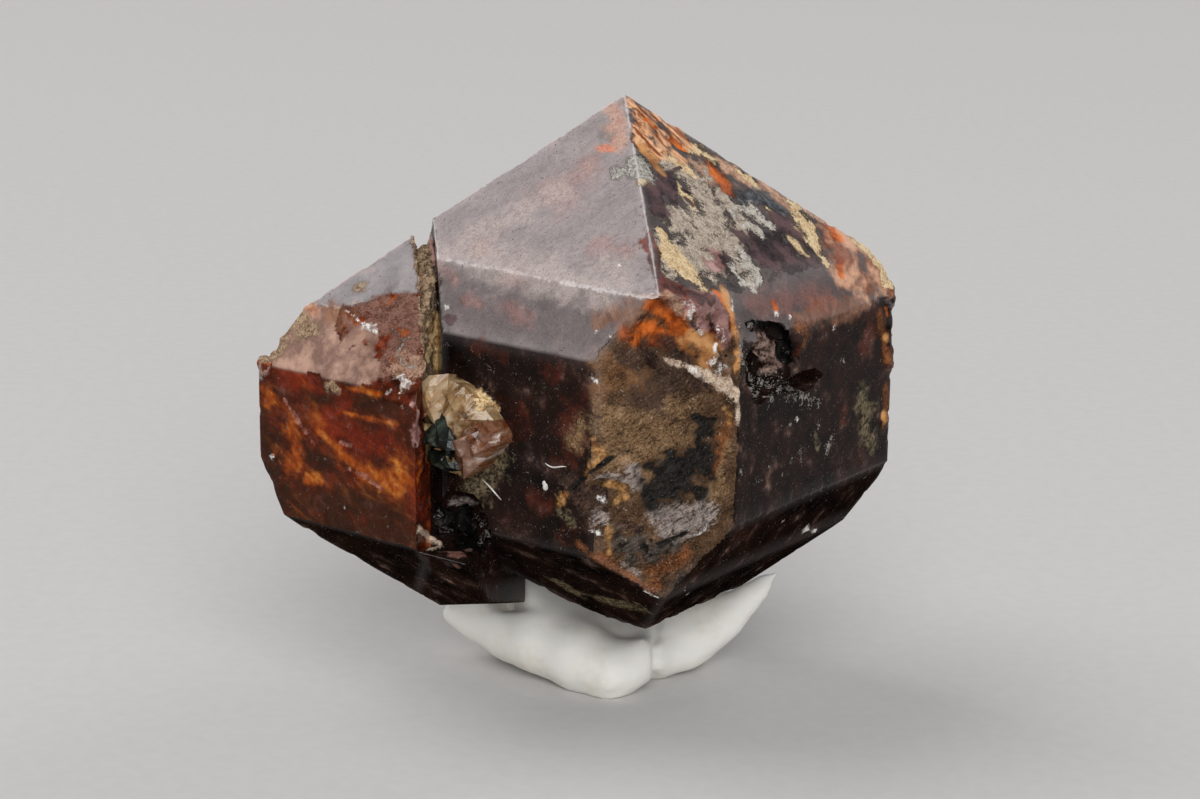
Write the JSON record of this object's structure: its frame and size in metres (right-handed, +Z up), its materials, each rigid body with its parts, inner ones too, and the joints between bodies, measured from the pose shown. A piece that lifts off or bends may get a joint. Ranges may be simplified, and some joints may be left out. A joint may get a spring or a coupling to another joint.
{
  "type": "zircon crystal",
  "caption": "Stubby brown-red double-pyramid zircon with a parallel crystal grown onto its side, set upright in a small pad of white mineral tack.",
  "frame": {"origin": "point on the tack's flat underside straight below the main crystal's apex, which lies on the c axis", "axes": "+Z up along the crystal's c axis; -Y towards the viewer, 8 degrees off the main crystal's front edge; -X towards the second crystal"},
  "size_m": [0.0221, 0.0167, 0.021],
  "materials": {
    "zircon": "glassy dark red-brown growth faces with rough brown and beige patches",
    "white_tack": "soft matte off-white putty"
  },
  "bodies": {
    "root": {"zircon_crystal": "zircon", "mounting_tack": "white_tack"}
  },
  "joints": []
}
